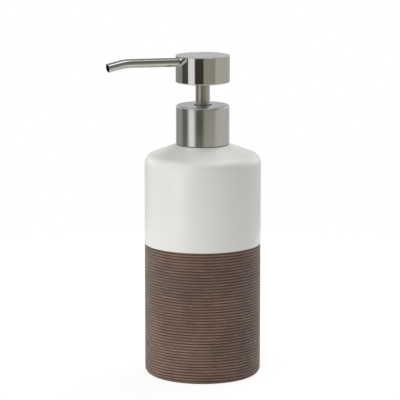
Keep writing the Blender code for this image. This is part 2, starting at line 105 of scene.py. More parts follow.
class BottleSettings(bpy.types.PropertyGroup):
    """Sizes and colours of the stoneware bottle."""

    wall: length("Wall", 4.5 * MM, "Thickness of the fired wall")
    floor: length("Floor", 6 * MM, "Thickness of the bottle's floor")
    shoulder_fillet: length(
        "Shoulder fillet", 6.3 * MM, "Radius between the wall and the sloped shoulder",
    )
    shoulder_slope: FloatProperty(
        name="Shoulder slope", default=math.radians(20.5), subtype="ANGLE",
        description="Slope of the shoulder below the level",
    )
    neck_hole: length("Neck hole", 12.6 * MM, "Radius of the plain hole in the neck")
    glaze_line: length("Glaze line", 81.4 * MM, "Height of the glaze's lower edge")
    glaze_coat: length("Glaze coat", 0.25 * MM, "Thickness of the glaze")
    rib_pitch: length("Rib pitch", 1.78 * MM, "Height of one turned rib")
    rib_depth: length("Rib depth", 0.5 * MM, "Depth of the grooves between ribs")
    rib_sharpness: FloatProperty(
        name="Rib sharpness", default=2.5, min=1.0, max=12.0,
        description="How narrow the grooves are beside the ribs",
    )
    rib_wander: length("Rib wander", 0.2 * MM, "How far a rib strays up and down round the bottle")
    rib_unevenness: share("Rib unevenness", 0.5, "How much the grooves differ in depth")
    seed: IntProperty(name="Seed", default=7, description="Seed of the uneven turning")
    glaze: colour("Glaze", (0.80, 0.80, 0.765), "Colour of the glaze")
    clay: colour("Clay", (0.250, 0.158, 0.117), "Colour of the bare stoneware on its ribs")
    # The grooves' colour is painted shade: far darker than the clay, standing in for the shade that
    # falls in the grooves.
    groove_and_painted_shade: colour("Groove", (0.061, 0.0315, 0.0205), "Colour of the bare stoneware in its grooves")


class SteelSettings(bpy.types.PropertyGroup):
    """Finish of the steel pieces."""

    polished: colour("Polished steel", (0.58, 0.57, 0.545), "Colour of the polished steel")
    satin: colour("Satin steel", (0.62, 0.62, 0.60), "Colour of the satin steel")
    # The stem's colour is painted shade: the same stainless steel as the head, made darker to stand in
    # for the shade and dark reflections under the head.
    stem: colour("Stem steel", (0.51, 0.48, 0.435), "Colour of the drawn steel on the stem")
    head_roughness: share("Head roughness", 0.07, "Roughness of the polished head and spout")
    stem_roughness: share("Stem roughness", 0.35, "Roughness of the drawn steel on the stem")
    collar_roughness: share("Collar roughness", 0.23, "Roughness of the brushed collar")


class StudioSettings(bpy.types.PropertyGroup):
    """The camera and the light tent."""

    azimuth: FloatProperty(
        name="Camera azimuth", default=math.radians(65), subtype="ANGLE",
        description="Turn of the camera about the bottle, from in front of the spout",
    )
    elevation: FloatProperty(
        name="Camera elevation", default=math.radians(10.37), subtype="ANGLE",
        description="Slope of the camera's look, down from the level",
    )
    distance: length("Camera distance", 1.547, "From the camera to the point it looks at")
    aim_height: length("Aim height", 0.1076, "Height of the point that the camera looks at")
    aim_left: length("Aim left", 0.0016, "How far left of the bottle's axis the camera looks")
    lens: FloatProperty(
        name="Lens", default=227.9, min=10, max=500, description="Focal length in millimetres",
    )
    floor_radius: length("Floor radius", 0.45, "Radius of the white table top")


# ---------------------------------------------------------------- outlines and turned solids
def rounded(corners, closed, steps=6):
    """An outline of (radius, height) points from corners (radius, height, fillet): each corner
    with a fillet becomes an arc that is tangent to both sides."""
    outline = []
    count = len(corners)
    for i, (r, z, fillet) in enumerate(corners):
        here = Vector((r, z))
        if fillet <= 0 or (not closed and i in (0, count - 1)):
            outline.append(here)
            continue
        before = Vector(corners[i - 1][:2]) - here
        after = Vector(corners[(i + 1) % count][:2]) - here
        half = before.angle(after) / 2
        along = min(fillet / math.tan(half), 0.49 * before.length, 0.49 * after.length)
        radius = along * math.tan(half)
        inward = (before.normalized() + after.normalized()).normalized()
        centre = here + inward * (along / math.cos(half))
        start = here + before.normalized() * along - centre
        sweep = math.pi - 2 * half
        side = 1 if start.x * (here - centre).y - start.y * (here - centre).x > 0 else -1
        for step in range(steps + 1):
            turn = Matrix.Rotation(side * sweep * step / steps, 2)
            outline.append(centre + turn @ (start.normalized() * radius))
    return [tuple(point) for point in outline]


def piece(name, mesh):
    made = bpy.data.objects.new(name, mesh)
    bpy.context.scene.collection.objects.link(made)
    return made


def smooth(mesh, sharp_above=40):
    mesh.shade_smooth()
    mesh.set_sharp_from_angle(angle=math.radians(sharp_above))
    return mesh


def turned(name, outline, facets=FACETS):
    """A solid of revolution about a vertical axis. An outline that starts and ends on the axis
    makes a full disc; any other outline is a closed loop, and makes a ring."""
    shape = bmesh.new()
    corners = [shape.verts.new((r, 0.0, z)) for r, z in outline]
    edges = [shape.edges.new(pair) for pair in zip(corners, corners[1:])]
    if outline[0][0] > 0.0 or outline[-1][0] > 0.0:
        edges.append(shape.edges.new((corners[-1], corners[0])))
    bmesh.ops.spin(
        shape, geom=corners + edges, cent=(0, 0, 0), axis=(0, 0, 1), angle=2 * math.pi,
        steps=facets, use_merge=True,
    )
    bmesh.ops.remove_doubles(shape, verts=shape.verts, dist=1e-7)
    bmesh.ops.recalc_face_normals(shape, faces=shape.faces)
    mesh = bpy.data.meshes.new(name)
    shape.to_mesh(mesh)
    shape.free()
    return piece(name, smooth(mesh))


def loft(name, rings):
    """A closed tube wall through rings of points; the last ring is joined to the first."""
    shape = bmesh.new()
    rows = [[shape.verts.new(point) for point in ring] for ring in rings]
    for lower, upper in zip(rows, rows[1:] + rows[:1]):
        for i in range(len(lower)):
            j = (i + 1) % len(lower)
            shape.faces.new((lower[i], lower[j], upper[j], upper[i]))
    bmesh.ops.recalc_face_normals(shape, faces=shape.faces)
    mesh = bpy.data.meshes.new(name)
    shape.to_mesh(mesh)
    shape.free()
    return piece(name, smooth(mesh))


def made_plain(made):
    """Turns a piece with modifiers into a plain mesh, and removes them."""
    depsgraph = bpy.context.evaluated_depsgraph_get()
    mesh = bpy.data.meshes.new_from_object(made.evaluated_get(depsgraph), depsgraph=depsgraph)
    made.modifiers.clear()
    made.data = mesh
    mesh.name = made.name
    return made


def cut(made, cutter):
    """Cuts a closed cutter out of a piece, and removes the cutter."""
    step = made.modifiers.new("cut", "BOOLEAN")
    step.operation = "DIFFERENCE"
    step.solver = "EXACT"
    step.object = cutter
    made_plain(made)
    bpy.data.objects.remove(cutter, do_unlink=True)
    smooth(made.data)
    return made


def dressed(made, material, body, slot, *nodes):
    """Gives a finished piece its material and its body, and hides the nodes that it stands for. The
    slot is not used.
    """
    made.data.materials.clear()
    made.data.materials.append(material)
    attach(made, body)
    if nodes:
        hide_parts(*nodes)
    return made


# ---------------------------------------------------------------- node trees
class Nodes:
    """Adds nodes to a tree in short form: sockets are linked, and plain values are set."""

    def __init__(self, tree):
        self.tree = tree

    def add(self, kind, outputs=0, inputs=(), **settings):
        node = self.tree.nodes.new(kind)
        for name, value in settings.items():
            setattr(node, name, value)
        for key, value in dict(inputs).items():
            self.set(node.inputs[key], value)
        return node.outputs[outputs] if len(node.outputs) else node

    def set(self, socket, value):
        if isinstance(value, bpy.types.NodeSocket):
            self.tree.links.new(value, socket)
        else:
            socket.default_value = value

    def math(self, operation, *values, clamp=False):
        kind = "ShaderNodeMath"
        return self.add(kind, inputs=enumerate(values), operation=operation, use_clamp=clamp)

    def ramp(self, value, from_min, from_max, to_min=0.0, to_max=1.0):
        inputs = {
            "Value": value, "From Min": from_min, "From Max": from_max,
            "To Min": to_min, "To Max": to_max,
        }
        return self.add("ShaderNodeMapRange", inputs=inputs, interpolation_type="SMOOTHSTEP")

    def blend(self, share_of_second, first, second, kind="MIX"):
        inputs = {0: share_of_second, 6: first, 7: second}
        return self.add("ShaderNodeMix", 2, inputs, data_type="RGBA", blend_type=kind)

    def noise(self, vector, scale, detail=2.0, roughness=0.5, **settings):
        inputs = {"Vector": vector, "Scale": scale, "Detail": detail, "Roughness": roughness}
        return self.add("ShaderNodeTexNoise", inputs=inputs, **settings)


def rgba(values):
    return (*values, 1.0)


def new_material(name):
    """A material with a Principled shader to fill in: itself, its nodes helper, its shader and
    its object coordinates."""
    made = bpy.data.materials.new(name)
    made.use_nodes = True
    nodes = Nodes(made.node_tree)
    shader = made.node_tree.nodes["Principled BSDF"]
    place = nodes.add("ShaderNodeTexCoord", "Object")
    return made, nodes, shader, place


def bumped(nodes, shader, height, depth):
    """Roughens a surface by a height pattern, with its depth in metres."""
    inputs = {"Height": height, "Distance": depth, "Strength": 1.0}
    nodes.set(shader.inputs["Normal"], nodes.add("ShaderNodeBump", inputs=inputs))


# ---------------------------------------------------------------- materials
def glaze_material(settings):
    """Satin off-white glaze: a slow drift of tone, a soft skin and a trace of the throwing."""
    made, nodes, shader, place = new_material("satin_glaze")
    drift = nodes.noise(place, 22.0, detail=3.0)
    speck = nodes.noise(place, 1400.0, detail=1.0)
    base = Vector(settings.glaze)
    tone = nodes.blend(nodes.ramp(drift, 0.3, 0.7), rgba(base * 0.975), rgba(base * 1.015))
    fleck = rgba(base * Vector((0.72, 0.66, 0.58)))
    specked = nodes.blend(nodes.ramp(speck, 0.72, 0.80, 0.0, 0.25), tone, fleck)
    nodes.set(shader.inputs["Base Color"], specked)
    nodes.set(shader.inputs["Roughness"], nodes.ramp(drift, 0.25, 0.75, 0.28, 0.35))
    shader.inputs["Coat Weight"].default_value = 0.7
    shader.inputs["Coat Roughness"].default_value = 0.2
    peel = nodes.noise(place, 260.0, detail=2.0)
    bumped(nodes, shader, peel, 0.000015)
    return made


def clay_material(settings):
    """Bare turned stoneware: painted shade darkens its grooves; streaked along the ribs, mottled and
    dry.
    """
    made, nodes, shader, place = new_material("bare_stoneware")
    # Painted shade: the grooves' depth, read back from the ribs' geometry, darkens the clay there.
    groove_and_painted_shade = nodes.add("ShaderNodeAttribute", "Fac", attribute_name="groove_and_painted_shade")
    mottle = nodes.noise(place, 60.0, detail=4.0, roughness=0.6)
    cloud = nodes.noise(place, 24.0, detail=2.0)
    drawn_out = (110.0, 110.0, 900.0)
    along_ribs = nodes.add("ShaderNodeMapping", inputs={"Vector": place, "Scale": drawn_out})
    streak = nodes.noise(along_ribs, 1.0, detail=2.0, roughness=0.6)
    grain = nodes.noise(place, 2600.0, detail=3.0, roughness=0.7)
    base = Vector(settings.clay)
    cool, warm = base * Vector((0.76, 0.74, 0.80)), base * Vector((1.22, 1.19, 1.12))
    clouded = nodes.blend(nodes.ramp(cloud, 0.35, 0.65), rgba(cool), rgba(warm))
    mottled = nodes.blend(nodes.ramp(mottle, 0.62, 0.38, 0.0, 0.45), clouded, rgba(base * 0.62))
    streaked = nodes.blend(nodes.ramp(streak, 0.5, 0.72, 0.0, 0.6), mottled, rgba(base * 1.55))
    grained = nodes.blend(nodes.ramp(grain, 0.35, 0.7, 0.0, 0.3), streaked, rgba(base * 0.55))
    # Painted shade in the grooves, laid over the clay's own colour.
    nodes.set(shader.inputs["Base Color"], nodes.blend(groove_and_painted_shade, grained, rgba(settings.groove_and_painted_shade)))
    nodes.set(shader.inputs["Roughness"], nodes.ramp(grain, 0.2, 0.8, 0.52, 0.72))
    shader.inputs["Sheen Weight"].default_value = 0.3
    shader.inputs["Sheen Roughness"].default_value = 0.4
    shader.inputs["Sheen Tint"].default_value = (0.88, 0.96, 0.96, 1.0)
    bumped(nodes, shader, grain, 0.00006)
    return made


def steel_material(name, base, roughness, brushing):
    """Stainless steel with the fine rings that polishing on a lathe leaves."""
    made, nodes, shader, place = new_material(name)
    tilt = nodes.add("ShaderNodeMapping", inputs={"Vector": place, "Scale": (30.0, 30.0, 5200.0)})
    rings = nodes.noise(tilt, 1.0, detail=3.0, roughness=0.65)
    drift = nodes.noise(place, 90.0, detail=2.0)
    tint = Vector(base)
    nodes.set(shader.inputs["Base Color"], nodes.blend(drift, rgba(tint * 0.97), rgba(tint * 1.03)))
    uneven = nodes.ramp(rings, 0.3, 0.7, roughness * 0.9, roughness * 1.12)
    nodes.set(shader.inputs["Roughness"], uneven)
    shader.inputs["Metallic"].default_value = 1.0
    bumped(nodes, shader, rings, brushing)
    return made


def moulded_material(name, base, roughness, subsurface=0.0):
    """Moulded plastic or rubber with a faint mould grain."""
    made, nodes, shader, place = new_material(name)
    drift = nodes.noise(place, 160.0, detail=2.0)
    grain = nodes.noise(place, 3000.0, detail=1.0)
    tint = Vector(base)
    nodes.set(shader.inputs["Base Color"], nodes.blend(drift, rgba(tint * 0.94), rgba(tint * 1.06)))
    nodes.set(shader.inputs["Roughness"], nodes.ramp(grain, 0.3, 0.7, roughness * 0.9, roughness * 1.1))
    shader.inputs["Subsurface Weight"].default_value = subsurface
    shader.inputs["Subsurface Scale"].default_value = 0.002
    bumped(nodes, shader, grain, 0.00001)
    return made


# ---------------------------------------------------------------- the bottle
def outside_corners(settings, inset):
    """Corners of the bottle's outside, moved in by inset, from the glaze line up and over to the
    lower end of the neck hole."""
    radius, land = reach("bottle"), high("bottle")
    land_radius = reach("collar_shell") + 0.15 * MM
    slope = settings.shoulder_slope
    rise = inset / math.cos(slope)
    roof = settings.wall / math.cos(slope)
    shoulder = land - rise - (radius - inset - land_radius) * math.tan(slope)
    land_edge = land_radius - inset * math.tan(slope / 2)
    hole_foot = land - roof + (land_radius - settings.neck_hole) * math.tan(slope)
    return [
        (radius - inset, settings.glaze_line, 0.0),
        (radius - inset, shoulder, settings.shoulder_fillet - inset),
        (land_edge, land - inset, 0.5 * MM),
        (settings.neck_hole + inset, land - inset, 0.4 * MM),
        (settings.neck_hole + inset, hole_foot, 0.0),
    ]


def glaze_coat(settings):
    """The coat of glaze: a thin closed shell that ends in a rounded lip at the glaze line."""
    coat = settings.glaze_coat
    outer = outside_corners(settings, 0.0)
    inner = outside_corners(settings, coat)
    r, z, _ = outer[0]
    outer[0] = (r, z, 0.14 * MM)
    corners = outer + inner[::-1]
    return turned("glaze_coat", rounded(corners, closed=True, steps=10))


def clay_body(settings):
    """The fired body under the glaze, with a fine row of points wherever ribs will be turned."""
    radius = reach("bottle")
    under_glaze = outside_corners(settings, settings.glaze_coat + 0.02 * MM)
    ring_inner, ring_outer, ring_depth, ring_fillet = 24 * MM, 25.8 * MM, 0.6 * MM, 0.2 * MM
    ring_draft = 0.3 * MM
    foot_fillet, wall_radius = 4 * MM, radius - 0.03 * MM
    foot_radius = wall_radius - foot_fillet
    foot = rounded(
        [
            (0.0, 0.0, 0.0),
            (ring_inner, 0.0, ring_fillet),
            (ring_inner + ring_draft, ring_depth, ring_fillet),
            (ring_outer - ring_draft, ring_depth, ring_fillet),
            (ring_outer, 0.0, ring_fillet),
            (foot_radius, 0.0, 0.0),
        ],
        closed=False, steps=8,
    )
    row = settings.rib_pitch / ROWS_PER_RIB
    bends = round(foot_fillet * math.pi / 2 / row)
    for i in range(1, bends + 1):
        turn = math.pi / 2 * i / bends
        foot.append((foot_radius + foot_fillet * math.sin(turn), foot_fillet * (1 - math.cos(turn))))
    ribbed_height = settings.glaze_line - foot_fillet
    rows = round(ribbed_height / row)
    ribbed = [(wall_radius, foot_fillet + ribbed_height * i / rows) for i in range(1, rows + 1)]
    inner_corner = outside_corners(settings, settings.wall)[1]
    inside = rounded(
        under_glaze + [
            inner_corner,
            (radius - settings.wall, settings.floor, 4 * MM), (0.0, settings.floor, 0.0),
        ],
        closed=False, steps=8,
    )
    return turned("ribbed_body", foot + ribbed + inside, facets=180)


def rib_tree():
    """Geometry nodes that turn ribs into an upright wall: grooves one pitch apart, a little uneven in
    depth and height, with their depth kept as an attribute that paints shade into the grooves in the
    clay's colour."""
    tree = bpy.data.node_groups.new("turned_ribs", "GeometryNodeTree")
    face = tree.interface
    face.new_socket("Geometry", in_out="INPUT", socket_type="NodeSocketGeometry")
    for name in (
        "Rib pitch", "Rib depth", "Lowest rib", "Highest rib",
        "Sharpness", "Wander", "Unevenness", "Seed",
    ):
        face.new_socket(name, in_out="INPUT", socket_type="NodeSocketFloat")
    face.new_socket("Clay", in_out="INPUT", socket_type="NodeSocketMaterial")
    face.new_socket("Geometry", in_out="OUTPUT", socket_type="NodeSocketGeometry")

    nodes = Nodes(tree)
    given = tree.nodes.new("NodeGroupInput").outputs

    def swung(noise, amount):
        """A noise made even about zero, and scaled so that it seldom goes past the amount."""
        even = nodes.math("SUBTRACT", noise, 0.5)
        return nodes.math("MULTIPLY", even, nodes.math("MULTIPLY", amount, 4.0))

    place = nodes.add("GeometryNodeInputPosition")
    x, y, z = (nodes.add("ShaderNodeSeparateXYZ", axis, {"Vector": place}) for axis in "XYZ")
    slow = nodes.noise(place, 35.0, detail=1.0, noise_dimensions="4D")
    nodes.set(slow.node.inputs["W"], given["Seed"])
    stray = swung(slow, given["Wander"])
    below = nodes.math("SUBTRACT", given["Highest rib"], nodes.math("ADD", z, stray))
    turns = nodes.math("ADD", nodes.math("DIVIDE", below, given["Rib pitch"]), 0.5)
    within = nodes.math("FRACT", turns)
    wave = nodes.math("ABSOLUTE", nodes.math("COSINE", nodes.math("MULTIPLY", within, math.pi)))
    groove_and_painted_shade = nodes.math("POWER", wave, given["Sharpness"])
    faded_in = nodes.ramp(z, given["Lowest rib"], nodes.math("ADD", given["Lowest rib"], 0.6 * MM))
    under_glaze_line = nodes.math("LESS_THAN", z, nodes.math("ADD", given["Highest rib"], 0.001 * MM))
    level = nodes.add("ShaderNodeCombineXYZ", inputs={"X": x, "Y": y})
    radius = nodes.add("ShaderNodeVectorMath", "Value", {0: level}, operation="LENGTH")
    on_wall = nodes.math("GREATER_THAN", radius, reach("bottle") - 2.2 * MM)
    for mask in (faded_in, under_glaze_line, on_wall):
        groove_and_painted_shade = nodes.math("MULTIPLY", groove_and_painted_shade, mask)
    rib_number = nodes.math("MULTIPLY", nodes.math("FLOOR", turns), 0.37)
    along = (nodes.math("MULTIPLY", axis, 28.0) for axis in (x, y))
    round_place = nodes.add("ShaderNodeCombineXYZ", inputs=dict(zip("XYZ", (*along, rib_number))))
    patchy = nodes.noise(round_place, 1.0, detail=2.0, noise_dimensions="4D")
    nodes.set(patchy.node.inputs["W"], nodes.math("ADD", given["Seed"], 5.0))
    swing = swung(patchy, given["Unevenness"])
    depth = nodes.math("MULTIPLY", given["Rib depth"], nodes.math("ADD", swing, 1.0))
    outward = nodes.add("ShaderNodeVectorMath", inputs={0: level}, operation="NORMALIZE")
    inward = nodes.math("MULTIPLY", nodes.math("MULTIPLY", groove_and_painted_shade, depth), -1.0)
    shift = nodes.add("ShaderNodeVectorMath", operation="SCALE", inputs={0: outward, "Scale": inward})
    # The grooves' depth is stored for the painted shade in the clay's colour.
    kept = nodes.add("GeometryNodeStoreNamedAttribute", inputs={
        "Geometry": given["Geometry"], "Name": "groove_and_painted_shade", "Value": groove_and_painted_shade})
    turned_wall = nodes.add("GeometryNodeSetPosition", inputs={"Geometry": kept, "Offset": shift})
    whole = nodes.add("GeometryNodeRealizeInstances", inputs={"Geometry": turned_wall})
    clad = nodes.add("GeometryNodeSetMaterial", inputs={"Geometry": whole, "Material": given["Clay"]})
    nodes.set(tree.nodes.new("NodeGroupOutput").inputs["Geometry"], clad)
    return tree


def fill_in(modifier, values):
    """Sets a geometry nodes modifier's inputs, given by the names of its sockets."""
    for item in modifier.node_group.interface.items_tree:
        if item.in_out == "INPUT" and item.name in values:
            modifier[item.identifier] = values[item.name]


class DISPENSER_OT_glaze(bpy.types.Operator):
    """Coat the upper part of the bottle with glaze"""

    bl_idname = "dispenser.glaze"
    bl_label = "Glaze"

    def execute(self, context):
        settings = context.scene.dispenser_bottle
        dressed(glaze_coat(settings), glaze_material(settings), "bottle", "glazed_stoneware")
        return {"FINISHED"}


class DISPENSER_OT_ribbed_body(bpy.types.Operator):
    """Turn the ribbed stoneware body of the bottle"""

    bl_idname = "dispenser.ribbed_body"
    bl_label = "Ribbed body"

    def execute(self, context):
        settings = context.scene.dispenser_bottle
        body = clay_body(settings)
        clay = clay_material(settings)
        ribs = body.modifiers.new("ribs", "NODES")
        ribs.node_group = rib_tree()
        fill_in(ribs, {
            "Rib pitch": settings.rib_pitch, "Rib depth": settings.rib_depth, "Lowest rib": 0.4 * MM,
            "Highest rib": settings.glaze_line, "Sharpness": settings.rib_sharpness,
            "Wander": settings.rib_wander, "Unevenness": settings.rib_unevenness,
            "Seed": float(settings.seed), "Clay": clay,
        })
        made_plain(body)
        smooth(body.data, 75)
        dressed(body, clay, "bottle", "bare_stoneware", "bottle")
        return {"FINISHED"}


# ---------------------------------------------------------------- the pump's outside
def collar():
    """The drawn steel sleeve: a wall and a top with a hole, of one sheet."""
    radius, base, top = reach("collar_shell"), low("collar_shell"), high("collar_shell")
    sheet, edge, hole = 0.55 * MM, 1.2 * MM, 5.75 * MM
    corners = [
        (radius - sheet, base, 0.15 * MM),
        (radius, base, 0.25 * MM),
        (radius, top, edge),
        (hole, top, 0.25 * MM),
        (hole, top - sheet, 0.1 * MM),
        (radius - sheet, top - sheet, edge - sheet),
    ]
    return turned("collar_shell_fine", rounded(corners, closed=True, steps=10))


def guide():
    """The black guide in the collar's hole: a neck on a disc, with a skirt below."""
    top, base = high("stem_guide"), low("stem_guide")
    disc = reach("stem_guide")
    disc_top = low("collar_shell") + 21.15 * MM
    disc_base, skirt, neck, bore = disc_top - 1.3 * MM, 5.9 * MM, 5.4 * MM, 4.5 * MM
    corners = [
        (bore, base, 0.2 * MM),
        (skirt, base, 0.2 * MM),
        (skirt, disc_base, 0.1 * MM),
        (disc, disc_base, 0.2 * MM),
        (disc, disc_top, 0.2 * MM),
        (neck, disc_top, 0.1 * MM),
        (neck, top, 0.25 * MM),
        (bore, top, 0.25 * MM),
    ]
    return turned("stem_guide_fine", rounded(corners, closed=True, steps=5))


def flat_ring(name, node, bore, bore_edge, rim_edge, facets=FACETS):
    """A turned ring as high and as wide as its node, with rounded edges inside and outside."""
    radius, base, top = reach(node), low(node), high(node)
    corners = [
        (bore, base, bore_edge),
        (radius, base, rim_edge),
        (radius, top, rim_edge),
        (bore, top, bore_edge),
    ]
    return turned(name, rounded(corners, closed=True, steps=4), facets)


def sleeve():
    """The thin steel tube over the stem."""
    bore = reach("stem_sleeve") - 0.4 * MM
    return flat_ring("stem_sleeve_fine", "stem_sleeve", bore, 0.1 * MM, 0.15 * MM, facets=96)


def base_plate():
    """The steel disc that closes the head from below."""
    return flat_ring("head_base_plate_fine", "head_base_plate", 4.65 * MM, 0.1 * MM, 0.15 * MM)


SPOUT_RADIUS = 2.75 * MM
SPOUT_WALL = 0.5 * MM
SPOUT_BELOW_TOP = 4 * MM
SPOUT_RISE = math.radians(1.65)
SPOUT_INNER_END = 5.8 * MM
SPOUT_BEND_START = 47.5 * MM
SPOUT_BEND_RADIUS = 35 * MM
SPOUT_BEND = math.radians(13)
SPOUT_END_STRAIGHT = 7.15 * MM


def along_spout():
    """Places what is drawn from the head's axis along -Y, at the spout's height and its rise."""
    middle = Vector((0, 0, high("head_shell") - SPOUT_BELOW_TOP))
    return Matrix.Translation(middle) @ Matrix.Rotation(-SPOUT_RISE, 4, "X")


def spout_line():
    """Points of the spout's centreline with its direction there: straight, then bent down, then
    straight to the open end, as (reach, drop, bend)."""
    straight_steps, bend_steps, tip_steps = 24, 20, 6
    straight = SPOUT_BEND_START - SPOUT_INNER_END
    line = [(SPOUT_INNER_END + straight * i / straight_steps, 0.0, 0.0) for i in range(straight_steps)]
    for i in range(bend_steps + 1):
        bend = SPOUT_BEND * i / bend_steps
        drop = -SPOUT_BEND_RADIUS * (1 - math.cos(bend))
        line.append((SPOUT_BEND_START + SPOUT_BEND_RADIUS * math.sin(bend), drop, bend))
    far, drop, bend = line[-1]
    for i in range(1, tip_steps + 1):
        run = SPOUT_END_STRAIGHT * i / tip_steps
        line.append((far + run * math.cos(bend), drop - run * math.sin(bend), bend))
    return line


def spout():
    """The bent steel tube, open at both ends, with rounded lips."""
    sides, lip = 64, 0.12 * MM
    laid = along_spout()

    def ring(place, radius, back=0.0):
        reach_out, drop, bend = place
        across, up = Vector((1, 0, 0)), Vector((0, -math.sin(bend), math.cos(bend)))
        along = Vector((0, -math.cos(bend), -math.sin(bend)))
        middle = Vector((0, -reach_out, drop)) - along * back
        angles = [2 * math.pi * i / sides for i in range(sides)]
        return [laid @ (middle + radius * (math.cos(a) * across + math.sin(a) * up)) for a in angles]

    *line, end = spout_line()
    inner = SPOUT_RADIUS - SPOUT_WALL
    wall = [ring(place, SPOUT_RADIUS) for place in line]
    outer_lip, inner_lip = [], []
    for i in range(5):
        turn = i * math.pi / 2 / 4
        less_cos, less_sin = lip * (1 - math.cos(turn)), lip * (1 - math.sin(turn))
        outer_lip.append(ring(end, SPOUT_RADIUS - less_cos, less_sin))
        inner_lip.append(ring(end, inner + less_sin, less_cos))
    bore = [ring(place, inner) for place in reversed(line)]
    return loft("spout_tube_fine", wall + outer_lip + inner_lip + bore)


def head():
    """The pressed steel cup of the head: flat top, crisp edge, rolled rim, a hole for the spout."""
    radius, base, top = reach("head_shell"), low("head_shell"), high("head_shell")
    side, roof, rim, rim_height = 0.6 * MM, 0.5 * MM, 15.1 * MM, 0.8 * MM
    corners = [
        (0.0, top, 0.0),
        (radius, top, 0.3 * MM),
        (radius, base, 0.9 * MM),
        (rim, base, 0.2 * MM),
        (rim, base + rim_height, 0.1 * MM),
        (radius - side, base + rim_height, 0.1 * MM),
        (radius - side, top - roof, 0.2 * MM),
        (0.0, top - roof, 0.0),
    ]
    made = turned("head_shell_fine", rounded(corners, closed=False, steps=8))
    hole, near, far = SPOUT_RADIUS + 0.05 * MM, radius / 2, radius * 2
    cutter = turned("spout_hole", [(0.0, near), (hole, near), (hole, far), (0.0, far)], facets=64)
    cutter.matrix_world = along_spout() @ Matrix.Rotation(math.pi / 2, 4, "X")
    return cut(made, cutter)


class DISPENSER_OT_collar(bpy.types.Operator):
    """Make the brushed steel collar and the black guide in its hole"""

    bl_idname = "dispenser.collar"
    bl_label = "Collar and guide"

    def execute(self, context):
        settings = context.scene.dispenser_steel
        satin = steel_material("brushed_steel", settings.satin, settings.collar_roughness, 0.0000015)
        black = moulded_material("black_plastic", (0.018, 0.018, 0.017), 0.42)
        dressed(collar(), satin, "collar", "stainless_steel", "collar_shell")
        dressed(guide(), black, "pump", "black_plastic", "stem_guide")
        return {"FINISHED"}


class DISPENSER_OT_head(bpy.types.Operator):
    """Make the polished head, its spout, its base plate and the stem's sleeve"""

    bl_idname = "dispenser.head"
    bl_label = "Head, spout and stem"

    def execute(self, context):
        settings = context.scene.dispenser_steel
        fine = 0.000001
        polished = steel_material("polished_steel", settings.polished, settings.head_roughness, fine)
        # The stem's steel is a darker copy of the stainless steel: painted shade under the head.
        drawn = steel_material("stem_steel_painted_shade", settings.stem, settings.stem_roughness, fine)
        for make, node, finish in (
            (head, "head_shell", polished),
            (spout, "spout_tube", polished),
            (base_plate, "head_base_plate", polished),
            (sleeve, "stem_sleeve", drawn),
        ):
            dressed(make(), finish, "head", "stainless_steel", node)
        return {"FINISHED"}


# ---------------------------------------------------------------- the pump's insides
class DISPENSER_OT_engine(bpy.types.Operator):
    """Finish the pieces inside the pump"""

    bl_idname = "dispenser.engine"
    bl_label = "Pump engine"

    def execute(self, context):
        natural = moulded_material("natural_plastic", (0.72, 0.73, 0.70), 0.35, subsurface=0.3)
        seal = moulded_material("soft_seal", (0.50, 0.51, 0.50), 0.6)
        core = moulded_material("core_plastic", (0.018, 0.018, 0.017), 0.45)
        ball = steel_material("valve_ball_steel", (0.62, 0.62, 0.61), 0.06, 0.0000003)
        finishes = {
            natural: (
                "neck_insert", "pump_housing", "ball_cage", "dip_tube", "screw_cap", "piston_stem",
            ),
            seal: ("neck_grommet", "neck_gasket", "piston"),
            core: ("actuator_core",),
            ball: ("inlet_ball", "outlet_ball"),
        }
        for finish, names in finishes.items():
            for name in names:
                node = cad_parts[name]
                if not node.material_slots:
                    node.data.materials.append(finish)
                for place in node.material_slots:
                    place.material = finish
        return {"FINISHED"}


class DISPENSER_OT_spring(bpy.types.Operator):
    """Wind the return spring at its resting length; the real spring shortens as the head is pressed"""

    bl_idname = "dispenser.spring"
    bl_label = "Return spring"

    def execute(self, context):
        wire, turns, closed_turns, per_turn = 0.4 * MM, 8, 1, 40
        coil = 4.95 * MM
        base, top = low("return_spring") + wire, high("return_spring") - wire
        closed_pitch = 2 * wire + 0.1 * MM
        open_pitch = (top - base - 2 * closed_turns * closed_pitch) / (turns - 2 * closed_turns)
        curve = bpy.data.curves.new("return_spring_line", "CURVE")
        curve.dimensions = "3D"
        curve.bevel_depth = wire
        curve.bevel_resolution = 3
        curve.use_fill_caps = True
        line = curve.splines.new("POLY")
        line.points.add(turns * per_turn)
        for i, point in enumerate(line.points):
            turn = i / per_turn
            closed = min(turn, closed_turns) + max(0.0, turn - (turns - closed_turns))
            height = base + closed * closed_pitch + (turn - closed) * open_pitch
            angle = 2 * math.pi * turn
            point.co = (coil * math.cos(angle), coil * math.sin(angle), height, 1.0)
        wound = piece("return_spring_curve", curve)
        depsgraph = context.evaluated_depsgraph_get()
        mesh = bpy.data.meshes.new_from_object(wound.evaluated_get(depsgraph), depsgraph=depsgraph)
        bpy.data.objects.remove(wound, do_unlink=True)
        spring = piece("return_spring_fine", smooth(mesh, 50))
        steel = steel_material("spring_steel", (0.50, 0.50, 0.49), 0.25, 0.000001)
        dressed(spring, steel, "pump", "spring_steel", "return_spring")
        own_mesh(spring)
        return {"FINISHED"}


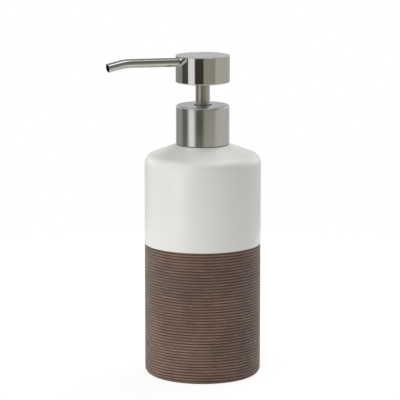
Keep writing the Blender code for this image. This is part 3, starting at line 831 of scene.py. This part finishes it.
# ---------------------------------------------------------------- the stage
# The light tent, as panels on the sky: azimuths in degrees from the camera's own direction,
# positive to its right; then elevations; then how soft the panel's sides and its ends are; then
# its light. What no panel covers is black. A panel that runs to the back or to the zenith or
# the nadir goes past it, so that it doesn't fade there.
TENT_PANELS = (
    ("low_back_left", -200, -97, -110, 2, 3, 2, (0.36, 0.36, 0.355)),
    ("low_flag", -97, -67, -110, 2, 3, 2, (0.085, 0.085, 0.082)),
    ("low_strip", -64, -34, -110, 2, 3, 2, (1.10, 1.10, 1.09)),
    ("low_gap", -34, 4, -110, 2, 2, 2, (0.055, 0.055, 0.043)),
    ("low_warm", 4, 55, -110, 2, 2, 2, (0.38, 0.365, 0.30)),
    ("low_right", 55, 120, -110, 2, 3, 2, (0.58, 0.565, 0.52)),
    ("low_back_right", 120, 200, -110, 2, 6, 2, (0.56, 0.56, 0.55)),
    ("rim_behind", 110, 250, 2, 22, 10, 4, (0.62, 0.63, 0.64)),
    ("side_left", -150, -60, 2, 60, 14, 6, (0.5, 0.51, 0.5)),
    ("front", -60, 60, 2, 62, 14, 6, (0.22, 0.22, 0.215)),
    ("side_right", 72, 150, 2, 60, 14, 6, (0.6, 0.6, 0.59)),
    ("behind", 150, 210, 22, 60, 14, 6, (0.25, 0.25, 0.25)),
    ("glint_left", -88, -22, 34, 50, 6, 4, (1.7, 1.7, 1.68)),
    ("glint_right", 30, 98, 60, 76, 6, 4, (1.8, 1.8, 1.78)),
    ("zenith", -400, 400, 62, 110, 20, 8, (0.45, 0.45, 0.45)),
)

# Soft boxes that fill in the matt stoneware and don't show in the steel: azimuth and elevation
# as above, then the width and height, then the power in watts.
SOFT_BOXES = (
    ("soft_box_front", -35, 10, 0.8, 0.8, 4.6),
    ("soft_box_left", -85, 10, 0.8, 0.8, 2.8),
    ("soft_box_right", 145, 58, 0.6, 0.6, 7.8),
)
SOFT_BOX_AIM = 0.13
SOFT_BOX_DISTANCE = 1.2


def band(nodes, value, low_edge, high_edge, softness):
    """A mask that is 1 between two edges, in degrees, and fades over the softness at each."""
    low_edge, high_edge, softness = map(math.radians, (low_edge, high_edge, softness))
    rising = nodes.ramp(value, low_edge - softness, low_edge + softness)
    falling = nodes.ramp(value, high_edge - softness, high_edge + softness, 1.0, 0.0)
    return nodes.math("MULTIPLY", rising, falling)


def light_tent(settings):
    """A sky that lights the object like a light tent, and shows plain white behind it."""
    world = bpy.data.worlds.new("light_tent")
    world.use_nodes = True
    world.node_tree.nodes.clear()
    nodes = Nodes(world.node_tree)
    look = nodes.add("ShaderNodeTexCoord", "Generated")
    faced = nodes.add(
        "ShaderNodeVectorRotate", inputs={"Vector": look, "Angle": -settings.azimuth},
        rotation_type="Z_AXIS",
    )
    right, away, up = (nodes.add("ShaderNodeSeparateXYZ", axis, {"Vector": faced}) for axis in "XYZ")
    azimuth = nodes.math("ARCTAN2", right, nodes.math("MULTIPLY", away, -1.0))
    elevation = nodes.math("ARCSINE", up)
    light = (0.0, 0.0, 0.0, 1.0)
    for _, first, last, bottom, top, side_soft, end_soft, glow in TENT_PANELS:
        sides = band(nodes, azimuth, first, last, side_soft)
        if last > 180:
            wrapped = band(nodes, azimuth, first - 360, last - 360, side_soft)
            sides = nodes.math("ADD", sides, wrapped, clamp=True)
        mask = nodes.math("MULTIPLY", sides, band(nodes, elevation, bottom, top, end_soft))
        light = nodes.blend(mask, light, rgba(glow), kind="ADD")
    seen = nodes.add("ShaderNodeLightPath", "Is Camera Ray")
    colour = nodes.blend(seen, light, (1.0, 1.0, 1.0, 1.0))
    sky = nodes.add("ShaderNodeBackground", inputs={"Color": colour})
    nodes.add("ShaderNodeOutputWorld", inputs={"Surface": sky})
    return world


def looking_back(turn, slope):
    """The direction from the object to a seat at a turn about it and a slope above the level."""
    level = math.cos(slope)
    return Vector((math.sin(turn) * level, -math.cos(turn) * level, math.sin(slope)))


def soft_box(settings, name, turn, slope, width, height, power):
    """A soft box that faces the bottle's shoulder, and is left out of reflections."""
    lamp = bpy.data.lights.new(name, "AREA")
    lamp.shape, lamp.size, lamp.size_y, lamp.energy = "RECTANGLE", width, height, power
    seat = piece(name, lamp)
    back = looking_back(settings.azimuth + turn, slope)
    seat.location = Vector((0.0, 0.0, SOFT_BOX_AIM)) + back * SOFT_BOX_DISTANCE
    seat.rotation_euler = (-back).to_track_quat("-Z", "Y").to_euler()
    seat.visible_glossy = False
    seat.visible_camera = False
    return seat


def table_top(settings):
    """A white table top that keeps only a faint shadow at the foot."""
    made, nodes, shader, _ = new_material("white_table")
    shader.inputs["Base Color"].default_value = (0.86, 0.86, 0.85, 1.0)
    shader.inputs["Roughness"].default_value = 0.9
    glow = nodes.add("ShaderNodeEmission", inputs={"Color": (1.0, 1.0, 1.0, 1.0), "Strength": 1.05})
    seen = nodes.math("MULTIPLY", nodes.add("ShaderNodeLightPath", "Is Camera Ray"), 0.86)
    mixed = nodes.add("ShaderNodeMixShader", inputs={0: seen, 1: shader.outputs["BSDF"], 2: glow})
    output = made.node_tree.nodes["Material Output"]
    nodes.set(output.inputs["Surface"], mixed)
    edge, underside = settings.floor_radius, -12 * MM
    outline = [(0.0, underside), (edge, underside), (edge, 0.0), (0.0, 0.0)]
    floor = turned("table_top", outline, facets=128)
    floor.data.materials.append(made)
    return floor


class DISPENSER_OT_stage(bpy.types.Operator):
    """Set the camera, the light tent and the table top"""

    bl_idname = "dispenser.stage"
    bl_label = "Stage"

    def execute(self, context):
        settings = context.scene.dispenser_studio
        floor = table_top(settings)
        scene = context.scene
        scene.world = light_tent(settings)
        scene.view_settings.view_transform = "Standard"
        for name, turn, slope, width, height, power in SOFT_BOXES:
            soft_box(settings, name, math.radians(turn), math.radians(slope), width, height, power)
        camera = bpy.data.cameras.new("camera")
        camera.lens = settings.lens
        camera.sensor_width = 36.0
        camera.clip_end = 20.0
        seat = piece("camera", camera)
        turn = settings.azimuth
        back = looking_back(turn, settings.elevation)
        left = Vector((-math.cos(turn), -math.sin(turn), 0.0))
        aim = Vector((0.0, 0.0, settings.aim_height)) + left * settings.aim_left
        seat.location = aim + back * settings.distance
        seat.rotation_euler = (-back).to_track_quat("-Z", "Y").to_euler()
        scene.camera = seat
        return {"FINISHED"}


# ---------------------------------------------------------------- the add-on
OPERATORS = (
    DISPENSER_OT_stage,
    DISPENSER_OT_ribbed_body,
    DISPENSER_OT_glaze,
    DISPENSER_OT_collar,
    DISPENSER_OT_head,
    DISPENSER_OT_engine,
    DISPENSER_OT_spring,
)
SETTINGS = {
    "dispenser_bottle": BottleSettings,
    "dispenser_steel": SteelSettings,
    "dispenser_studio": StudioSettings,
}


class DISPENSER_PT_sidebar(bpy.types.Panel):
    """Builds the dispenser piece by piece"""

    bl_idname = "DISPENSER_PT_sidebar"
    bl_label = "Soap dispenser"
    bl_space_type = "VIEW_3D"
    bl_region_type = "UI"
    bl_category = "Dispenser"

    def draw(self, context):
        for operator in OPERATORS:
            self.layout.operator(operator.bl_idname)
        for name, settings in SETTINGS.items():
            box = self.layout.box()
            for field in settings.__annotations__:
                box.prop(getattr(context.scene, name), field)


def register():
    for made in (*SETTINGS.values(), *OPERATORS, DISPENSER_PT_sidebar):
        bpy.utils.register_class(made)
    for name, settings in SETTINGS.items():
        setattr(bpy.types.Scene, name, PointerProperty(type=settings))


def unregister():
    for name in SETTINGS:
        delattr(bpy.types.Scene, name)
    for made in reversed((*SETTINGS.values(), *OPERATORS, DISPENSER_PT_sidebar)):
        bpy.utils.unregister_class(made)


def main():
    register()
    for operator in OPERATORS:
        group, name = operator.bl_idname.split(".")
        getattr(getattr(bpy.ops, group), name)()


if __name__ == "__main__":
    main()
